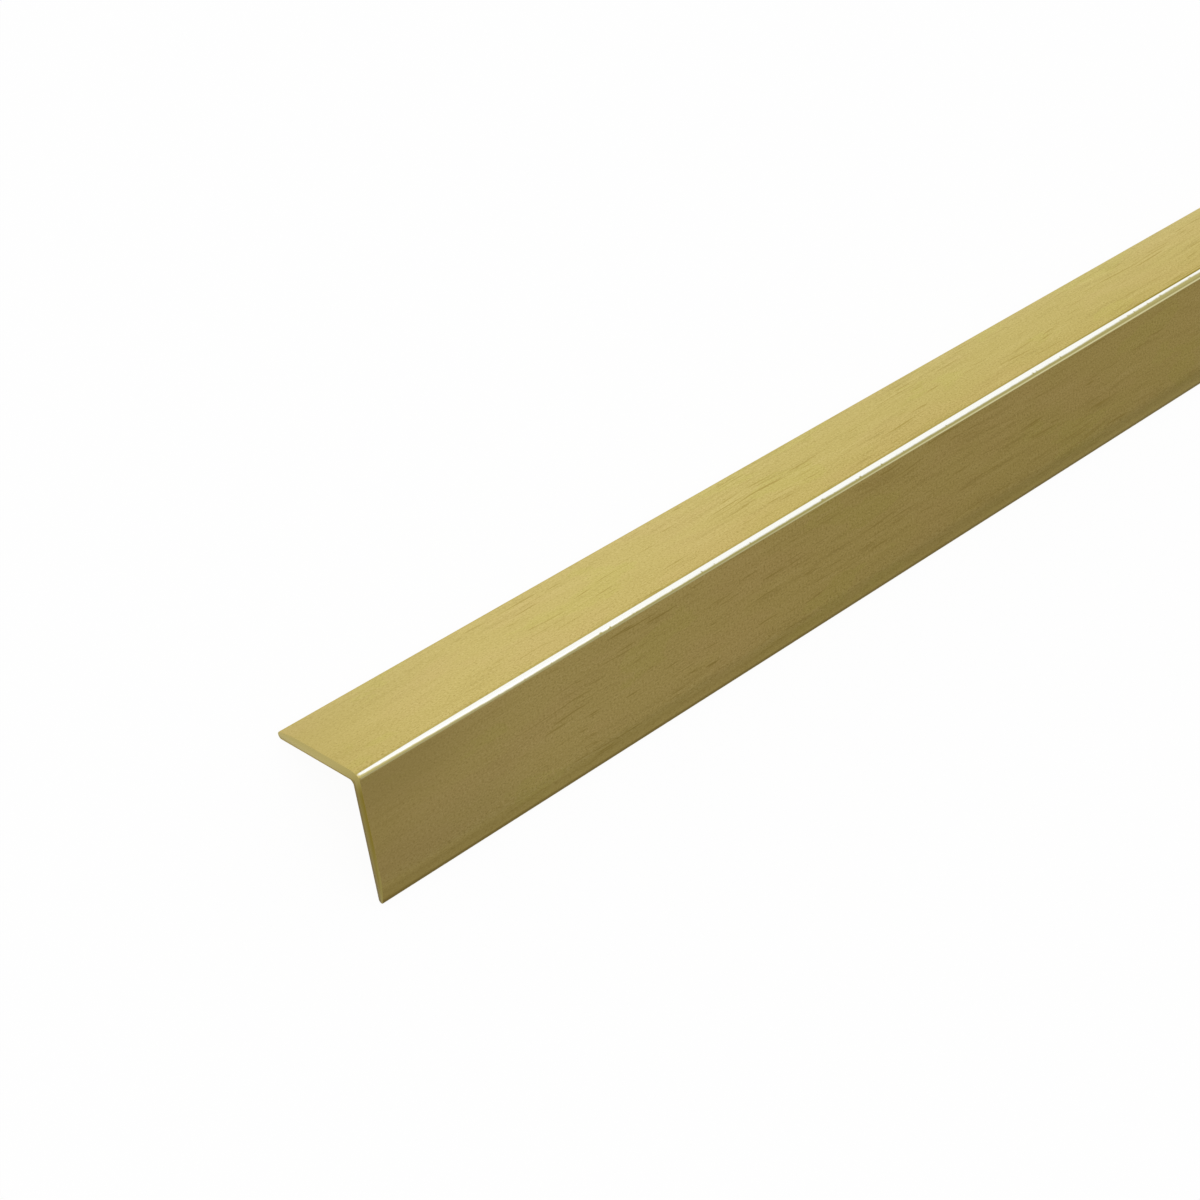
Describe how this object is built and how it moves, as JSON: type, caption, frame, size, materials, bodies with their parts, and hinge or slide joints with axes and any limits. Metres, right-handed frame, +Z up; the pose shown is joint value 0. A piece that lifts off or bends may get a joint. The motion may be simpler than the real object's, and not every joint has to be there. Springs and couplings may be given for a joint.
{
  "type": "metal angle section",
  "caption": "Straight length of gold-finished metal angle with one leg longer than the other, a rounded outer corner and toes that thin on the outside to round noses, sawn square at the ends.",
  "frame": {"origin": "middle of the footprint, on the floor that both toes rest on", "axes": "+X along the stock, +Z up through the rounded outer corner, short leg coming down towards +Y and long leg towards -Y"},
  "size_m": [1, 0.0312, 0.0167],
  "materials": {
    "gold_metal": "satin gold anodised, fine grain along the length"
  },
  "bodies": {
    "root": {"angle_section": "gold_metal"}
  },
  "joints": []
}
